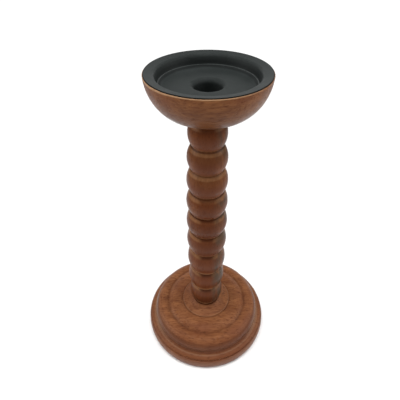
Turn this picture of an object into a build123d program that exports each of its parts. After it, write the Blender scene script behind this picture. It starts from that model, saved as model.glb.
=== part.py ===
"""Turned wooden candlestick: a pressed dish in a wooden bowl, on a bobbin-turned stem and a stepped base.

Millimetres, +Z up. The origin is the centre of the foot, on the surface that the candlestick stands on,
and the axis of the turning is Z. Profiles are drawn as (radius, height) in the XZ plane and revolved.
"""

from build123d import *
from math import asin, atan, cos, degrees
import os

os.makedirs("parts", exist_ok=True)

# Driving dimensions
base_height = 40.0  # table to the seat of the stem
stem_length = 238.0  # seat on the base to seat under the bowl
bowl_height = 38.9  # seat on the stem to the wooden rim
rim_radius = 50.0  # outside of the bowl
base_radius = 69.6

bead_lengths = (24.6, 24.7, 25.0, 25.4, 25.9, 26.7, 29.2, 28.2, 28.3)  # from the top one down
bead_depth = 3.75  # depth of the groove between two beads
belly_radius = 20.3  # fattest bead
belly_height = 148.0  # where the stem is fattest
belly_fall = 2.19e-4  # loss of radius per square millimetre of distance from the belly

top_spigot_radius = 8.0
top_spigot_length = 8.0
foot_spigot_radius = 9.5
foot_spigot_length = 15.0
glue_gap = 0.1  # round a spigot and at its end

sheet = 1.2  # thickness of the pressed dish
dish_radius = 49.3  # top edge of the dish
dish_proud = 0.8  # how far the dish stands above the wood round it
dish_depth = 11.0
cup_radius = 11.3  # takes a 22 mm candle
cup_depth = 15.0  # below the dish floor
pan_gap = 0.4  # between the dish and the wood beside it

screw_radius = 2.0
screw_length = 44.0
screw_head_radius = 3.9
screw_head_height = 1.7
thread_depth = 0.45
thread_pitch = 1.8
hole_slack = 0.1  # a screw's thread to the wall of its hole
hole_overrun = 1.0  # a screw's hole goes this much deeper than its tip

coach_radius = 3.0
coach_length = 64.0
coach_head_width = 10.0  # across the flats
coach_head_height = 4.0
coach_thread_depth = 0.7
coach_thread_pitch = 2.6
washer_radius = 9.0
washer_thickness = 1.6
counterbore_radius = 11.5
counterbore_top = 12.0  # height of the counterbore's ceiling above the table

felt_radius = 62.0
felt_thickness = 1.6
felt_proud = 0.4  # how far the felt stands below the wood
felt_gap = 0.2  # between the edge of the felt and its recess
felt_edge_fillet = 0.3

# Heights worked out from them
stem_top = base_height + stem_length
wood_rim = stem_top + bowl_height
pan_top = wood_rim + dish_proud
dish_floor = pan_top - dish_depth
cup_floor = dish_floor - cup_depth
cup_underside = cup_floor - sheet
wood_bottom = felt_proud


def finish_piece(part, name):
    """Label a finished piece and write it to its own file."""
    part.label = name
    export_step(part, f"parts/{name}.step")


def thread_points(outer, depth, low, high, pitch):
    """Outline of a ridged shank from its low end up to its high end, as (radius, height) points."""
    points = []
    ridges = int((high - low) / pitch)
    for ridge in range(ridges):
        foot = low + ridge * pitch
        points += [(outer - depth, foot), (outer, foot + pitch / 2)]
    points.append((outer - depth, low + ridges * pitch))
    return points


# ---------------------------------------------------------------- candle_pan
# Pressed steel dish with a drawn cup, all of one thickness. Its upper face is drawn from the edge of the
# flange, which falls gently inwards, down the wall, over a fine raised line and down to the cup floor.
wall_top_radius = 41.2  # where the flange would meet the wall if the corner were sharp
flange_fall = 1.6  # from the edge of the flange to that corner
line_outer_radius = 39.1
line_inner_radius = 38.3
line_foot = pan_top - 9.1  # where the wall reaches the raised line
line_crest = pan_top - 8.8
floor_corner_radius = 37.0
shoulder_fillet = 3.0
line_foot_fillet = 0.3
line_crest_fillet = 0.4
floor_fillet = 3.3
mouth_fillet = 4.0
cup_fillet = 2.4
flange_edge_fillet = 0.25
pan_hole_slack = 0.5  # lets the screw take up small errors
pan_hole_radius = screw_radius + pan_hole_slack

with BuildPart() as candle_pan:
    with BuildSketch(Plane.XZ):
        with BuildLine():
            upper_face = FilletPolyline(
                (dish_radius, pan_top),
                (wall_top_radius, pan_top - flange_fall),
                (line_outer_radius, line_foot),
                (line_inner_radius, line_crest),
                (floor_corner_radius, dish_floor),
                (cup_radius, dish_floor),
                (cup_radius, cup_floor),
                (pan_hole_radius, cup_floor),
                radius=[
                    shoulder_fillet,
                    line_foot_fillet,
                    line_crest_fillet,
                    floor_fillet,
                    mouth_fillet,
                    cup_fillet,
                ],
            )
            offset(upper_face, amount=sheet, kind=Kind.INTERSECTION, side=Side.LEFT)
        make_face()
    revolve(axis=Axis.Z)
    flange_edge = candle_pan.edges().filter_by(GeomType.CIRCLE).sort_by(Axis.Z)[-1]
    fillet(flange_edge, flange_edge_fillet)
finish_piece(candle_pan.part, "candle_pan")

# ----------------------------------------------------------------- bowl_head
# Half-round bowl: a quarter ellipse outside. Its mouth is rebated for the flange of the dish, leaving a thin
# lip of wood round it, and it is hollowed for the dish and drilled for the cup.
bowl_foot_radius = 17.8
bowl_foot = stem_top + 3.4  # lowest point of the round, above a short collar
bowl_swell = rim_radius - bowl_foot_radius
bowl_drop = 37.4
bowl_centre = bowl_foot + bowl_drop
collar_radius = 15.6
collar_lean = 0.6  # the collar is narrower at its foot
collar_height = 2.4
lip_radius = 49.6  # inside of the lip
hollow_radius = wall_top_radius + shoulder_fillet + pan_gap
hollow_floor_radius = line_outer_radius + sheet + pan_gap
hollow_floor = dish_floor - sheet - pan_gap
cup_hole_radius = cup_radius + sheet + pan_gap
cup_hole_chamfer = 1.5  # clears the rounded mouth of the cup
lip_arris = 0.2
cutter_overrun = 1.0  # the cut for the dish starts this much above the wood
flange_slope = flange_fall / (dish_radius - wall_top_radius)
flange_seat = pan_top - sheet / cos(atan(flange_slope))  # height of the seat at the edge of the dish


def seat_height(radius):
    """Height of the sloping seat under the flange at a radius."""
    return flange_seat - flange_slope * (dish_radius - radius)


with BuildPart() as bowl_head:
    with BuildSketch(Plane.XZ):
        with BuildLine():
            swell = EllipticalCenterArc(
                (bowl_foot_radius, bowl_centre),
                bowl_swell,
                bowl_drop,
                start_angle=-90,
                arc_size=90 - degrees(asin((bowl_centre - wood_rim) / bowl_drop)),
            )
            Polyline(
                swell @ 0,
                (collar_radius, stem_top + collar_height),
                (collar_radius - collar_lean, stem_top),
                (0, stem_top),
                (0, wood_rim),
                swell @ 1,
            )
        make_face()
    revolve(axis=Axis.Z)
    chamfer(bowl_head.edges().filter_by(GeomType.CIRCLE).group_by(Axis.Z)[-1], lip_arris)
    with BuildSketch(Plane.XZ):
        with BuildLine():
            Polyline(
                (0, wood_rim + cutter_overrun),
                (lip_radius, wood_rim + cutter_overrun),
                (lip_radius, seat_height(lip_radius)),
                (hollow_radius, seat_height(hollow_radius)),
                (hollow_floor_radius, hollow_floor),
                (cup_hole_radius + cup_hole_chamfer, hollow_floor),
                (cup_hole_radius, hollow_floor - cup_hole_chamfer),
                (cup_hole_radius, cup_underside),
                (0, cup_underside),
                close=True,
            )
        make_face()
    revolve(axis=Axis.Z, mode=Mode.SUBTRACT)
    with BuildSketch(Plane.XY.offset(stem_top)):
        Circle(top_spigot_radius + glue_gap)
    extrude(amount=top_spigot_length + glue_gap, mode=Mode.SUBTRACT)
    with BuildSketch(Plane.XY.offset(stem_top)):
        Circle(screw_radius + hole_slack)
    extrude(amount=bowl_height, mode=Mode.SUBTRACT)
finish_piece(bowl_head.part, "bowl_head")

# ---------------------------------------------------------------------- stem
# Nine beads between grooves. Each bead is an arc from one groove over its crest to the next, and a spigot
# at each end is turned in one with them.
top_spigot_chamfer = 0.8
foot_spigot_chamfer = 1.0
grooves = [stem_top]
for bead_length in bead_lengths:
    grooves.append(grooves[-1] - bead_length)


def stem_radius(height):
    """Radius of the beads' crests at a height: the stem swells gently in the middle."""
    return belly_radius - belly_fall * (height - belly_height) ** 2


with BuildPart() as stem:
    with BuildSketch(Plane.XZ):
        with BuildLine():
            for upper, lower in zip(grooves, grooves[1:]):
                middle = (upper + lower) / 2
                ThreePointArc(
                    (stem_radius(upper) - bead_depth, upper),
                    (stem_radius(middle), middle),
                    (stem_radius(lower) - bead_depth, lower),
                )
            Polyline(
                (stem_radius(base_height) - bead_depth, base_height),
                (foot_spigot_radius, base_height),
                (foot_spigot_radius, base_height - foot_spigot_length),
                (0, base_height - foot_spigot_length),
                (0, stem_top + top_spigot_length),
                (top_spigot_radius, stem_top + top_spigot_length),
                (top_spigot_radius, stem_top),
                (stem_radius(stem_top) - bead_depth, stem_top),
            )
        make_face()
    revolve(axis=Axis.Z)
    spigot_ends = stem.faces().filter_by(Axis.Z).sort_by(Axis.Z)
    chamfer(spigot_ends[0].edges(), foot_spigot_chamfer)
    chamfer(spigot_ends[-1].edges(), top_spigot_chamfer)
    with BuildSketch(Plane.XY.offset(cup_floor - screw_length - hole_overrun)):
        Circle(screw_radius + hole_slack)
    extrude(until=Until.LAST, mode=Mode.SUBTRACT)
    with BuildSketch(Plane.XY.offset(base_height - foot_spigot_length)):
        Circle(coach_radius + hole_slack)
    coach_reach = counterbore_top + coach_length - (base_height - foot_spigot_length)
    extrude(amount=coach_reach + hole_overrun, mode=Mode.SUBTRACT)
finish_piece(stem.part, "stem")

# ----------------------------------------------------------------------- base
# Stepped base, drawn as (radius, height) from the seat of the stem outwards and down to the foot. Each
# moulding is an arc from its start over its crown to its end.
seat_edge = (15.6, base_height)
collar_crown = (20.6, 37.3)
collar_edge = (27.0, 35.1)
collar_side = (27.6, 34.8)
ring_start = (27.8, 34.0)
ring_crown = (37.4, 34.9)
ring_end = (45.2, 31.7)
torus_start = (45.7, 31.7)
torus_crown = (57.7, 29.4)
torus_end = (60.9, 20.8)
cove_middle = (61.3, 17.8)
plate_start = (63.5, 16.1)
plate_crown = (65.9, 15.2)
plate_end = (67.8, 13.6)
quirk = (67.5, 12.9)  # bottom of the small groove under the plate
edge_start = (68.6, 12.4)
edge_crown = (base_radius, 8.2)
side_foot = (68.7, 1.1)
foot_arris = (68.0, wood_bottom)

with BuildPart() as base:
    with BuildSketch(Plane.XZ):
        with BuildLine():
            Line((0, base_height), seat_edge)
            ThreePointArc(seat_edge, collar_crown, collar_edge)
            ThreePointArc(collar_edge, collar_side, ring_start)
            ThreePointArc(ring_start, ring_crown, ring_end)
            Line(ring_end, torus_start)
            ThreePointArc(torus_start, torus_crown, torus_end)
            ThreePointArc(torus_end, cove_middle, plate_start)
            ThreePointArc(plate_start, plate_crown, plate_end)
            Polyline(plate_end, quirk, edge_start)
            ThreePointArc(edge_start, edge_crown, side_foot)
            Polyline(side_foot, foot_arris, (0, wood_bottom), (0, base_height))
        make_face()
    revolve(axis=Axis.Z)
    with BuildSketch(Plane.XY.offset(base_height)):
        Circle(foot_spigot_radius + glue_gap)
    extrude(amount=-foot_spigot_length - glue_gap, mode=Mode.SUBTRACT)
    with BuildSketch(Plane.XY):
        Circle(felt_radius + felt_gap)
    extrude(amount=felt_thickness, mode=Mode.SUBTRACT)
    with BuildSketch(Plane.XY):
        Circle(counterbore_radius)
    extrude(amount=counterbore_top, mode=Mode.SUBTRACT)
    with BuildSketch(Plane.XY):
        Circle(coach_radius + hole_slack)
    extrude(amount=base_height, mode=Mode.SUBTRACT)
finish_piece(base.part, "base")

# ------------------------------------------------------------------ top_screw
# Round-head wood screw: its low domed head sits on the floor of the cup, and it runs down into the stem.
screw_tip = cup_floor - screw_length
screw_point = 4.0
plain_shank = 12.0
head_edge = 0.65  # height of the straight edge under the dome
slot_length = 4.0
slot_width = 0.9
slot_depth = 1.4
dome_top = cup_floor + screw_head_height
dome_height = screw_head_height - head_edge
dome_radius = (screw_head_radius**2 + dome_height**2) / (2 * dome_height)
dome_angle = degrees(asin(screw_head_radius / dome_radius))

with BuildPart() as top_screw:
    with BuildSketch(Plane.XZ):
        with BuildLine():
            Polyline(
                (0, screw_tip),
                *thread_points(
                    screw_radius,
                    thread_depth,
                    screw_tip + screw_point,
                    cup_floor - plain_shank,
                    thread_pitch,
                ),
                (screw_radius, cup_floor - plain_shank),
                (screw_radius, cup_floor),
                (screw_head_radius, cup_floor),
                (screw_head_radius, cup_floor + head_edge),
            )
            dome = CenterArc((0, dome_top - dome_radius), dome_radius, 90, -dome_angle)
            Line((0, dome_top), (0, screw_tip))
        make_face()
    revolve(axis=Axis.Z)
    with BuildSketch(Plane.XY.offset(dome_top)):
        with PolarLocations(0, 2, angular_range=180):
            Rectangle(slot_length, slot_width)
    extrude(amount=-slot_depth, mode=Mode.SUBTRACT)
finish_piece(top_screw.part, "top_screw")

# ----------------------------------------------------------------- base_washer
washer_bottom = counterbore_top - washer_thickness
washer_hole_slack = 0.3
washer_chamfer = 0.3

with BuildPart() as base_washer:
    with BuildSketch(Plane.XY.offset(washer_bottom)):
        Circle(washer_radius)
        Circle(coach_radius + washer_hole_slack, mode=Mode.SUBTRACT)
    extrude(amount=washer_thickness)
    washer_edge = base_washer.faces().sort_by(Axis.Z)[0].edges().sort_by(SortBy.LENGTH)[-1]
    chamfer(washer_edge, washer_chamfer)
finish_piece(base_washer.part, "base_washer")

# ------------------------------------------------------------------ base_screw
# Hexagon-head coach screw, up through the washer and the base into the stem.
coach_head_bottom = washer_bottom - coach_head_height
coach_tip = washer_bottom + coach_length
coach_head_chamfer = 0.5
coach_point = 6.0
coach_plain = 16.0

with BuildPart() as base_screw:
    with BuildSketch(Plane.XY.offset(coach_head_bottom)):
        RegularPolygon(coach_head_width / 2, 6, major_radius=False)
    extrude(amount=coach_head_height)
    chamfer(base_screw.faces().sort_by(Axis.Z)[0].edges(), coach_head_chamfer)
    with BuildSketch(Plane.XZ):
        with BuildLine():
            Polyline(
                (0, washer_bottom),
                (coach_radius, washer_bottom),
                (coach_radius, washer_bottom + coach_plain),
                *thread_points(
                    coach_radius,
                    coach_thread_depth,
                    washer_bottom + coach_plain,
                    coach_tip - coach_point,
                    coach_thread_pitch,
                ),
                (0, coach_tip),
                close=True,
            )
        make_face()
    revolve(axis=Axis.Z)
finish_piece(base_screw.part, "base_screw")

# -------------------------------------------------------------------- felt_pad
with BuildPart() as felt_pad:
    with BuildSketch(Plane.XY):
        Circle(felt_radius)
    extrude(amount=felt_thickness)
    fillet(felt_pad.faces().sort_by(Axis.Z)[0].edges(), felt_edge_fillet)
finish_piece(felt_pad.part, "felt_pad")
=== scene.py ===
"""Looks of the turned wooden candlestick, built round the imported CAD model. Metres, +Z up."""

import math

import bpy
from mathutils import Matrix, Vector


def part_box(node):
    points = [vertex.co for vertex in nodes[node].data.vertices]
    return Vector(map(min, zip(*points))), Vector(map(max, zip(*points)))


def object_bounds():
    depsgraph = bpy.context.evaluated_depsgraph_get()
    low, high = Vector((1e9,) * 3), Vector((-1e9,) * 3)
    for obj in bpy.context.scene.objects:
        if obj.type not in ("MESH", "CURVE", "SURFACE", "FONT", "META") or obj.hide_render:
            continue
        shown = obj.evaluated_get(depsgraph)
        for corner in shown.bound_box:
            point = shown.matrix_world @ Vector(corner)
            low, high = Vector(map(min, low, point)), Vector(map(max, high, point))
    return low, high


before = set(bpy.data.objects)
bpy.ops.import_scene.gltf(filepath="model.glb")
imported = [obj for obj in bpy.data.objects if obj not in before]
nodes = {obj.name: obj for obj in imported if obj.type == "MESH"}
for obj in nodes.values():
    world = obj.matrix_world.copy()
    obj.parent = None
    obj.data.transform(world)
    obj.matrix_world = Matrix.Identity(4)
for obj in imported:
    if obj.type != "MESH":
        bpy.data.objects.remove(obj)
cad_low, cad_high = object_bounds()
scene = bpy.context.scene


# ------------------------------------------------------------------ places taken from the frame
def radius_of(node):
    """Outer radius of a turned CAD node."""
    low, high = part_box(node)
    return (high.x - low.x) / 2


MM = 0.001
top = cad_high.z
rim_radius = radius_of("candle_pan")
base_radius = radius_of("base")
seat_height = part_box("base")[1].z  # the stem stands on the base here
neck_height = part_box("bowl_head")[0].z  # and meets the bowl here
wood_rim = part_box("bowl_head")[1].z

# Radii of the turned details on the base and in the dish, and where the stem is widest.
stem_line = 15.0 * MM  # the corner where the stem meets the base
collar_arris = 27.1 * MM
collar_line = 28.0 * MM
torus_line = 45.6 * MM  # the groove between the flat ring and the torus
torus_side = 58.8 * MM
cove = 61.6 * MM
plate_arris = 63.4 * MM
quirk = 67.6 * MM  # the small groove under the foot plate
raised_line = 38.6 * MM
belly_height = 148 * MM
belly_radius = 20.3 * MM
belly_fall = 0.219  # the outline's loss of radius, per square metre of distance from the belly

SATIN = 0.13  # specular level of the waxed wood and of the powder coat
GRIME = (0.066, 0.043, 0.027)


# ------------------------------------------------------------------ building a material's nodes
class Graph:
    """One material and short calls that add its nodes. Every call returns the socket it makes."""

    def __init__(self, name):
        self.material = bpy.data.materials.new(name)
        self.material.use_nodes = True
        self.tree = self.material.node_tree
        self.shader = self.tree.nodes["Principled BSDF"]
        place = self.add("ShaderNodeTexCoord")
        self.point, self.facing = place.outputs["Object"], place.outputs["Normal"]
        split = self.add("ShaderNodeSeparateXYZ")
        self.tree.links.new(self.point, split.inputs[0])
        self.x, self.y, self.z = split.outputs

    def add(self, kind, **settings):
        node = self.tree.nodes.new(kind)
        for key, value in settings.items():
            setattr(node, key, value)
        return node

    def feed(self, socket, value):
        """Link a socket to value, or set it where value is plain numbers."""
        if isinstance(value, bpy.types.NodeSocket):
            self.tree.links.new(value, socket)
        else:
            socket.default_value = value

    def math(self, operation, first, second=0.0):
        node = self.add("ShaderNodeMath", operation=operation)
        for socket, value in zip(node.inputs, (first, second)):
            self.feed(socket, value)
        return node.outputs[0]

    def sum(self, first, *others):
        for other in others:
            first = self.math("ADD", first, other)
        return first

    def times(self, first, *others):
        for other in others:
            first = self.math("MULTIPLY", first, other)
        return first

    def join(self, x, y, z):
        node = self.add("ShaderNodeCombineXYZ")
        for socket, value in zip(node.inputs, (x, y, z)):
            self.feed(socket, value)
        return node.outputs[0]

    def stretch(self, vector, scale, shift=(0, 0, 0)):
        node = self.add("ShaderNodeVectorMath", operation="MULTIPLY_ADD")
        for socket, value in zip(node.inputs, (vector, scale, shift)):
            self.feed(socket, value)
        return node.outputs[0]

    def noise(self, vector, scale=1.0, detail=3.0, roughness=0.55, distortion=0.0):
        node = self.add("ShaderNodeTexNoise")
        self.feed(node.inputs["Vector"], vector)
        node.inputs["Scale"].default_value = scale
        node.inputs["Detail"].default_value = detail
        node.inputs["Roughness"].default_value = roughness
        node.inputs["Distortion"].default_value = distortion
        return node.outputs["Fac"]

    def between(self, value, low, high, to_low=0.0, to_high=1.0):
        """value brought smoothly from the range low..high to the range to_low..to_high."""
        node = self.add("ShaderNodeMapRange", interpolation_type="SMOOTHSTEP")
        for socket, number in zip(node.inputs, (value, low, high, to_low, to_high)):
            self.feed(socket, number)
        return node.outputs[0]

    def line_at(self, value, centre, width):
        """1 where value is at centre, falling to 0 at width away from it."""
        away = self.math("ABSOLUTE", self.math("SUBTRACT", value, centre))
        return self.between(away, 0.0, width, 1.0, 0.0)

    def mix(self, share, first, second):
        node = self.add("ShaderNodeMix", data_type="RGBA")
        self.feed(node.inputs["Factor"], share)
        for socket, value in zip(node.inputs[6:8], (first, second)):
            self.feed(socket, value if isinstance(value, bpy.types.NodeSocket) else (*value, 1.0))
        return node.outputs[2]

    def ramp(self, value, stops):
        node = self.add("ShaderNodeValToRGB")
        elements = node.color_ramp.elements
        while len(elements) < len(stops):
            elements.new(0.5)
        for element, (place, colour) in zip(elements, stops):
            element.position = place
            element.color = (*colour, 1.0)
        self.feed(node.inputs["Fac"], value)
        return node.outputs["Color"]

    def radius(self):
        """Distance from the axis of the turning."""
        square = self.sum(self.times(self.x, self.x), self.times(self.y, self.y))
        return self.math("SQRT", square)

    def facing_up(self):
        """How far the surface faces up: 1 on top, 0 on a side, -1 underneath."""
        split = self.add("ShaderNodeSeparateXYZ")
        self.feed(split.inputs[0], self.facing)
        return split.outputs[2]

    def bump(self, height, distance, strength=1.0):
        node = self.add("ShaderNodeBump")
        self.feed(node.inputs["Height"], height)
        node.inputs["Distance"].default_value = distance
        node.inputs["Strength"].default_value = strength
        return node.outputs["Normal"]

    def finish(self, colour, roughness, normal, **fixed):
        """Feed the shader. fixed gives the values that are the same all over, by socket name."""
        self.feed(self.shader.inputs["Base Color"], colour)
        self.feed(self.shader.inputs["Roughness"], roughness)
        self.feed(self.shader.inputs["Normal"], normal)
        for key, value in fixed.items():
            self.shader.inputs[key.replace("_", " ")].default_value = value
        return self.material


# ------------------------------------------------------------------ wood
def wood_figure(g, along, shift):
    """Slow tone, fine fibre, dark dashes of the pores, blotches, mottle and turning marks.

    Each is 0..1. The grain runs along the axis named by along, and shift moves it to another place.
    """
    order = {"X": (g.x, g.y, g.z), "Z": (g.z, g.x, g.y)}[along]
    timber = g.stretch(g.join(*order), (1, 1, 1), shift)
    broad = g.noise(g.stretch(timber, (12, 75, 75)), detail=2.0)
    fibre = g.noise(g.stretch(timber, (85, 620, 620)), detail=3.0, roughness=0.6)
    dashes = g.noise(g.stretch(timber, (160, 1050, 1050)), detail=1.0)
    pores = g.between(dashes, 0.55, 0.70)
    blotches = g.noise(g.stretch(timber, (26, 34, 34), (3.1, 1.7, 8.3)), detail=2.0)
    mottle = g.noise(g.stretch(timber, (70, 210, 210), (1.9, 4.4, 0.6)), detail=2.0, distortion=0.4)
    rings = g.noise(g.stretch(g.join(g.radius(), 0.0, g.z), (800, 1, 800)), detail=2.0)
    return broad, fibre, pores, blotches, mottle, rings


def turned_wood(
    name, along, shift, tones, red, bare_and_highlight, grain, shade_and_stain, wear_and_highlights, streak_and_shade=None, stain=None
):
    """Stained and waxed wood, with painted shade and painted highlights on it. The mask arguments
    make masks from the graph: painted shade with some dark stain, pale wear with painted
    highlights, a streak with painted shade, and stain.
    """
    g = Graph(name)
    broad, fibre, pores, blotches, mottle, rings = wood_figure(g, along, shift)
    deep, mid, pale = tones
    slow, fine = g.times(broad, 0.25), g.times(fibre, 0.35)
    tone = g.sum(slow, fine, g.times(mottle, 0.25), g.times(rings, 0.15))
    colour = g.ramp(tone, [(0.41, deep), (0.50, mid), (0.59, pale)])
    colour = g.mix(g.between(blotches, 0.46, 0.66, 0.0, 0.7), colour, red)
    # A darker, redder streak, partly painted shade.
    if streak_and_shade:
        colour = g.mix(g.times(streak_and_shade(g), 0.8), colour, tuple(c * 0.84 for c in red))
    dark = (deep[0] * 0.42, deep[1] * 0.36, deep[2] * 0.36)
    colour = g.mix(g.times(pores, grain), colour, dark)
    # Painted shade, with some dark stain, mixed towards the dark tone.
    colour = g.mix(g.times(shade_and_stain(g), 0.85), colour, dark)
    # Pale bare wood, painted highlights and painted reflections, mixed towards the pale colour.
    pale_wear_and_highlight = g.times(wear_and_highlights(g), g.between(fibre, 0.35, 0.62, 0.75, 1.0))
    colour = g.mix(pale_wear_and_highlight, colour, bare_and_highlight)
    if stain:
        colour = g.mix(stain(g), colour, GRIME)
    smears = g.noise(g.point, scale=75.0, detail=2.0)
    roughness = g.sum(g.between(smears, 0.3, 0.7, 0.27, 0.40), g.times(pores, 0.20))
    timber = g.sum(g.times(fibre, 0.5), g.times(pores, -0.9))
    relief = g.sum(timber, g.times(smears, 0.6), g.times(rings, 0.4))
    normal = g.bump(relief, 0.10 * MM, 0.6)
    return g.finish(colour, roughness, normal, Specular_IOR_Level=SATIN)


def stem_shade_and_stain(g):
    """Painted shade in the grooves, deep inside the outline, and at the neck under the bowl;
    painted shadow with dark stain at the foot; darker round the waist.
    """
    from_belly = g.math("SUBTRACT", g.z, belly_height)
    outline = g.math("SUBTRACT", belly_radius, g.times(from_belly, from_belly, belly_fall))
    depth = g.math("SUBTRACT", outline, g.radius())
    # Painted shade on the upward side of each groove, where the bead above hides it.
    not_under = g.between(g.facing_up(), -0.35, 0.0)
    grooves = g.times(g.between(depth, 1.6 * MM, 3.0 * MM), not_under)
    # Painted shadow and dark stain on the lowest bead.
    foot = g.between(g.z, seat_height + 2 * MM, seat_height + 28 * MM, 0.9, 0.0)
    # Darker round the waist.
    waist = g.times(g.line_at(g.z, 160 * MM, 55 * MM), 0.28)
    # Painted shade under the bowl, lighter on the left.
    neck = g.between(g.z, neck_height - 9 * MM, neck_height - 2 * MM, 0.0, 0.8)
    neck = g.times(neck, g.between(g.x, -15 * MM, -5 * MM, 0.35, 1.0))
    return g.math("MAXIMUM", g.math("MAXIMUM", grooves, neck), g.math("MAXIMUM", foot, waist))


def stem_painted_highlights(g):
    """Painted highlight on the upper shoulder of each bead, a little painted light below it on the
    upper beads, and a painted reflection along each bead's underside.
    """
    up = g.facing_up()
    upper = g.between(g.z, 198 * MM, 208 * MM)  # the beads where the painted highlight goes right round
    upper = g.times(upper, g.between(g.z, neck_height - 16 * MM, neck_height - 8 * MM, 1.0, 0.0))
    sides = g.between(g.math("ABSOLUTE", g.x), 3 * MM, 11 * MM)
    reach = g.math("MAXIMUM", sides, g.sum(0.08, g.times(upper, 0.80)))
    # The upper grooves are steeper, so the painted highlight over each crest starts where it faces
    # up more.
    tilt = g.sum(up, g.times(upper, -0.045))
    band = g.times(g.between(tilt, 0.31, 0.40), g.between(tilt, 0.46, 0.52, 1.0, 0.0))
    shoulders = g.times(band, reach, g.sum(0.76, g.times(upper, 0.20)))
    # A little painted light below the shoulder on the upper beads.
    below = g.times(g.between(up, -0.05, 0.38), upper, 0.22)
    lowest = g.between(g.z, 92 * MM, 118 * MM, 1.0, 0.0)  # beads with flatter sides, where the painted underside reflection is wider and stronger
    # Painted reflection of the pale floor along each bead's underside.
    under = g.between(g.sum(up, g.times(lowest, -0.15)), -0.54, -0.38, 1.0, 0.0)
    undersides = g.times(under, g.sum(0.42, g.times(lowest, 0.30)))
    return g.sum(g.math("MAXIMUM", shoulders, below), undersides)


def stem_streak_and_shade(g):
    """A darker, redder streak that runs down the front of the stem: partly heartwood, partly
    painted shade where the front gets less light than the sides.
    """
    wander = g.times(g.sum(g.noise(g.stretch(g.point, (20, 20, 14)), detail=1.0), -0.5), 14 * MM)
    across = g.math("ABSOLUTE", g.sum(g.x, wander))
    front = g.between(g.y, -16 * MM, -9 * MM, 1.0, 0.0)
    return g.times(g.between(across, 6 * MM, 15 * MM, 1.0, 0.0), front)


def stem_stain(g):
    """Grey-brown grime down one side: on the shoulders, and all over the top and lowest beads."""
    side = g.times(g.between(g.x, 4 * MM, 11 * MM), g.between(g.y, 0.0, 12 * MM, 1.0, 0.3))
    shoulders = g.between(g.facing_up(), -0.05, 0.35)
    lower_bands = g.between(g.z, 196 * MM, 206 * MM, 0.9, 0.0)
    upper_bands = g.between(g.z, 224 * MM, 236 * MM, 0.0, 0.5)
    middle = g.times(shoulders, g.sum(lower_bands, upper_bands))
    bottom = g.between(g.z, 116 * MM, 142 * MM, 1.0, 0.0)
    whole = g.sum(bottom, g.between(g.z, 250 * MM, 257 * MM, 0.0, 0.6))
    patches = g.noise(g.stretch(g.point, (110, 110, 52), (0.4, 2.0, 0.7)), detail=3.0)
    patchy = g.between(patches, 0.42, 0.57, 0.28, 1.0)
    return g.times(side, g.math("MAXIMUM", middle, whole), patchy, 0.88)


def bowl_painted_shade(g):
    """Painted shade in the corner over the collar, and a darker, redder lower half that is painted
    shade.
    """
    # Painted shade in the crease where the bowl meets the collar.
    corner = g.times(g.line_at(g.z, neck_height + 0.9 * MM, 2.4 * MM), 1.17)
    # Painted shade on the lower half, which faces down.
    lower = g.between(g.z, neck_height + 4 * MM, neck_height + 37 * MM, 0.86, 0.0)
    return g.math("MAXIMUM", corner, lower)


def bowl_wear(g):
    """Pale bare wood on the lip round the dish, worn wider on one side than on the other."""
    wider = g.between(g.x, -48 * MM, -15 * MM, 0.9 * MM, 0.0)
    narrower = g.between(g.x, 8 * MM, 44 * MM, 1.0, 0.25)
    lip = g.between(g.sum(g.z, wider), wood_rim - 1.0 * MM, wood_rim - 0.4 * MM)
    return g.times(lip, narrower)


def base_painted_shade(g):
    """Painted shade in the turned lines, broken and wavy, and on the torus's steep side."""
    reach = g.radius()
    wobble = g.times(g.sum(g.noise(g.point, scale=120.0, detail=2.0), -0.5), 2.2 * MM)
    wavy = g.sum(reach, wobble)
    # Painted shade in the grooves and in the corner round the stem.
    lines = g.sum(
        g.times(g.line_at(wavy, torus_line, 3.2 * MM), 0.60),
        g.times(g.line_at(wavy, collar_line, 1.8 * MM), 0.45),
        g.line_at(reach, stem_line, 1.2 * MM),
        g.times(g.line_at(reach, quirk, 0.7 * MM), g.between(g.z, 15 * MM, 13.8 * MM)),
    )
    # Painted shade on the torus's steep side.
    steep = g.between(reach, torus_side - 1.8 * MM, torus_side)
    slope = g.times(steep, g.between(g.z, 16.0 * MM, 17.8 * MM), 0.50)
    broken = g.between(g.noise(g.point, scale=170.0, detail=2.0), 0.32, 0.58, 0.35, 1.0)
    return g.math("MAXIMUM", g.times(g.math("MINIMUM", lines, 1.0), broken, 0.9), slope)


def base_red_and_shade(g):
    """The outer mouldings are darker and redder all round, and more so at the front as painted
    shade.
    """
    outer = g.between(g.radius(), 52 * MM, 61 * MM)
    front = g.between(g.y, -58 * MM, -15 * MM, 1.0, 0.45)
    patchy = g.between(g.noise(g.stretch(g.point, (20, 45, 45)), detail=2.0), 0.3, 0.6, 0.7, 1.0)
    return g.times(outer, front, patchy)


def base_wear_and_sheen(g):
    """Pale rubbed arrises on the collar and the foot plate, a paler edge, and a painted sheen in
    the cove away from the front.
    """
    reach = g.radius()
    plate = g.line_at(reach, plate_arris, 1.4 * MM)
    arrises = g.sum(g.line_at(reach, collar_arris, 0.7 * MM), plate)
    edge = g.line_at(g.z, 9.0 * MM, 4.6 * MM)
    # Painted sheen in the cove, at the sides and back.
    cove_sheen = g.times(g.line_at(reach, cove, 2.2 * MM), g.between(g.y, -48 * MM, -22 * MM))
    return g.sum(g.times(arrises, 0.25), g.times(edge, 0.12), g.times(cove_sheen, 0.45))


def shades(middle):
    """Deep, middle and pale tone of one timber."""
    red, green, blue = middle
    return (
        (red * 0.72, green * 0.66, blue * 0.66),
        middle,
        (red * 1.25, green * 1.30, blue * 1.30),
    )


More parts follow.
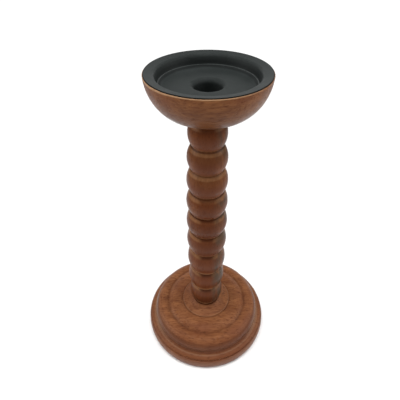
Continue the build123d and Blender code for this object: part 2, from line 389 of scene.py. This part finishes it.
materials = {
    "stem": turned_wood(
        "stem_wood",
        along="Z",
        shift=(0.31, 0.035, 0.022),
        tones=shades((0.158, 0.049, 0.0155)),
        red=(0.132, 0.035, 0.0112),
        bare_and_highlight=(0.285, 0.130, 0.056),
        grain=0.32,
        shade_and_stain=stem_shade_and_stain,
        wear_and_highlights=stem_painted_highlights,
        streak_and_shade=stem_streak_and_shade,
        stain=stem_stain,
    ),
    "bowl_head": turned_wood(
        "bowl_wood",
        along="X",
        shift=(0.12, 0.060, 0.041),
        tones=shades((0.206, 0.077, 0.0270)),
        red=(0.158, 0.050, 0.0190),
        bare_and_highlight=(0.42, 0.24, 0.125),
        grain=0.52,
        shade_and_stain=bowl_painted_shade,
        wear_and_highlights=bowl_wear,
    ),
    "base": turned_wood(
        "base_wood",
        along="X",
        shift=(0.55, 0.052, 0.030),
        tones=shades((0.205, 0.078, 0.0320)),
        red=(0.162, 0.057, 0.0265),
        bare_and_highlight=(0.30, 0.18, 0.11),
        grain=0.62,
        shade_and_stain=base_painted_shade,
        wear_and_highlights=base_wear_and_sheen,
        streak_and_shade=base_red_and_shade,
    ),
}


# ------------------------------------------------------------------ black dish
def powder_coat(name):
    """Matt black powder coat on pressed steel: orange peel, faint clouds, a painted highlight on
    the raised line, painted shade beside it, and a painted shadow at the rim's edge.
    """
    g = Graph(name)
    reach = g.radius()
    grain = g.noise(g.point, scale=2600.0, detail=2.0)
    cloud = g.noise(g.point, scale=55.0, detail=3.0)
    colour = g.ramp(cloud, [(0.35, (0.0205, 0.0238, 0.0232)), (0.70, (0.0280, 0.0318, 0.0312))])
    # Painted highlight along the crest of the raised line.
    crest = g.between(g.z, top - 9.3 * MM, top - 9.0 * MM)
    line_highlight = g.times(g.line_at(reach, raised_line, 0.55 * MM), crest)
    colour = g.mix(g.times(line_highlight, 0.45), colour, (0.12, 0.125, 0.125))
    # Painted shade in the corners either side of the raised line.
    inside = g.line_at(reach, raised_line - 1.4 * MM, 1.4 * MM)
    outside = g.line_at(reach, raised_line + 1.1 * MM, 0.9 * MM)
    colour = g.mix(g.times(g.sum(inside, outside), 0.55), colour, (0.006, 0.007, 0.007))
    # Painted shadow of the gap under the rim's edge.
    edge = g.between(reach, rim_radius - 1.0 * MM, rim_radius - 0.5 * MM)
    colour = g.mix(g.times(edge, 0.85), colour, (0.004, 0.004, 0.004))
    roughness = g.sum(g.between(cloud, 0.3, 0.7, 0.44, 0.54), g.times(grain, 0.06))
    normal = g.bump(g.sum(grain, g.times(cloud, 0.6)), 0.05 * MM, 0.6)
    return g.finish(colour, roughness, normal, Specular_IOR_Level=SATIN)


def zinc(name):
    """Zinc-plated steel of the screws and the washer."""
    g = Graph(name)
    cloud = g.noise(g.point, scale=420.0, detail=3.0)
    scratches = g.noise(g.stretch(g.point, (4000, 300, 300)), detail=2.0)
    colour = g.ramp(cloud, [(0.3, (0.40, 0.39, 0.35)), (0.7, (0.62, 0.61, 0.57))])
    roughness = g.sum(g.between(cloud, 0.3, 0.7, 0.28, 0.45), g.times(scratches, 0.1))
    return g.finish(colour, roughness, g.bump(scratches, 0.02 * MM, 0.6), Metallic=1.0)


def felt(name):
    """Black wool felt: matted fibres in every direction."""
    g = Graph(name)
    fuzz = g.noise(g.point, scale=1500.0, detail=5.0, roughness=0.75, distortion=1.4)
    clumps = g.noise(g.point, scale=260.0, detail=3.0)
    tone = g.sum(g.times(fuzz, 0.7), g.times(clumps, 0.3))
    colour = g.ramp(tone, [(0.32, (0.012, 0.012, 0.013)), (0.68, (0.055, 0.055, 0.058))])
    roughness = g.between(clumps, 0.3, 0.7, 0.88, 0.98)
    return g.finish(
        colour, roughness, g.bump(tone, 0.35 * MM, 1.0), Sheen_Weight=0.4, Sheen_Roughness=0.5
    )


steel = zinc("screw_steel")
materials["candle_pan"] = powder_coat("black_dish")
for node in ("top_screw", "base_screw", "base_washer"):
    materials[node] = steel
materials["felt_pad"] = felt("felt")

for node, material in materials.items():
    for slot in nodes[node].material_slots:
        slot.material = material


# ------------------------------------------------------------------ camera
camera = bpy.data.objects.new("camera", bpy.data.cameras.new("camera"))
scene.collection.objects.link(camera)
camera.location = (-6.6 * MM, -262.8 * MM, top + 98.65 * MM)
looking_down, leaning = 36.66, -0.27  # degrees
pitch = Matrix.Rotation(math.radians(90 - looking_down), 3, "X")
roll = Matrix.Rotation(math.radians(leaning), 3, "Z")
camera.rotation_euler = (pitch @ roll).to_euler()
camera.data.sensor_width = 36.0
camera.data.lens = 32.31
camera.data.shift_y = -0.065
camera.data.clip_start = 0.01
camera.data.clip_end = 50.0
scene.camera = camera


# ------------------------------------------------------------------ floor and light
def pale_floor():
    """A matt floor, painted palest under and round the object to lift its contact shadow, that
    fades into the white world further out.
    """
    size = 6.0
    mesh = bpy.data.meshes.new("floor")
    corners = [(-size, -size, 0), (size, -size, 0), (size, size, 0), (-size, size, 0)]
    mesh.from_pydata([Vector(c) for c in corners], [], [(0, 1, 2, 3)])
    floor = bpy.data.objects.new("floor", mesh)
    scene.collection.objects.link(floor)
    g = Graph("floor")
    speck = g.noise(g.point, scale=30.0)
    near = g.ramp(speck, [(0.3, (0.77, 0.77, 0.77)), (0.7, (0.79, 0.79, 0.79))])
    # Painted light round the foot that lifts its contact shadow.
    under = g.between(g.radius(), base_radius - 10 * MM, base_radius + 90 * MM, 1.0, 0.0)
    near = g.mix(under, near, (0.97, 0.97, 0.97))
    colour = g.mix(g.between(g.y, -0.60, -0.12), (0.55, 0.55, 0.55), near)
    normal = g.bump(speck, MM, 0.1)
    g.feed(g.shader.inputs["Alpha"], g.between(g.radius(), 0.50, 1.0, 1.0, 0.0))
    mesh.materials.append(g.finish(colour, g.between(speck, 0, 1, 0.85, 0.95), normal))


def soft_box(name, size, place, aim, power, spread=180, glossy=True):
    """An area lamp of so many watts. Without glossy, no surface shows its reflection."""
    lamp = bpy.data.lights.new(name, "AREA")
    lamp.shape = "RECTANGLE"
    lamp.size, lamp.size_y = size
    lamp.energy = power
    lamp.spread = math.radians(spread)
    box = bpy.data.objects.new(name, lamp)
    box.location = place
    box.rotation_euler = (Vector(aim) - Vector(place)).to_track_quat("-Z", "Y").to_euler()
    box.visible_glossy = glossy
    scene.collection.objects.link(box)


pale_floor()
soft_box("overhead", (2.4, 1.5), (0.0, -0.05, 2.4), (0, -0.05, 0.0), 62.0, glossy=False)
soft_box("overhead_gloss", (2.4, 1.5), (0.0, -0.05, 2.4), (0, -0.05, 0.0), 22.0)
soft_box("left_panel", (1.2, 1.2), (-1.5, -0.15, 0.9), (0, 0, 0.15), 10.5)
soft_box("right_panel", (1.2, 1.2), (1.5, -0.10, 0.9), (0, 0, 0.15), 10.0)
soft_box("front_panel", (1.6, 0.28), (0.0, -1.5, 0.20), (0, 0, 0.20), 7.8, glossy=False)
soft_box("backdrop", (5.0, 1.6), (0.0, 2.6, 0.9), (0, 0, 0.9), 28.0)
soft_box("background", (6.0, 3.0), (0.0, 3.0, 2.2), (0, 3.0, 0.0), 68.0, spread=60)

world = bpy.data.worlds.new("studio")
scene.world = world
world.use_nodes = True
sky = world.node_tree.nodes["Background"]
sky.inputs["Color"].default_value = (1.0, 1.0, 1.0, 1.0)
faint, seen = 0.05, 1.1  # it lights the scene faintly and shows as white past the floor
paths = world.node_tree.nodes.new("ShaderNodeLightPath")
strength = world.node_tree.nodes.new("ShaderNodeMath")
strength.operation = "MULTIPLY_ADD"
strength.inputs[1].default_value = seen - faint
strength.inputs[2].default_value = faint
world.node_tree.links.new(paths.outputs["Is Camera Ray"], strength.inputs[0])
world.node_tree.links.new(strength.outputs[0], sky.inputs["Strength"])

scene.view_settings.view_transform = "Standard"
scene.view_settings.look = "None"
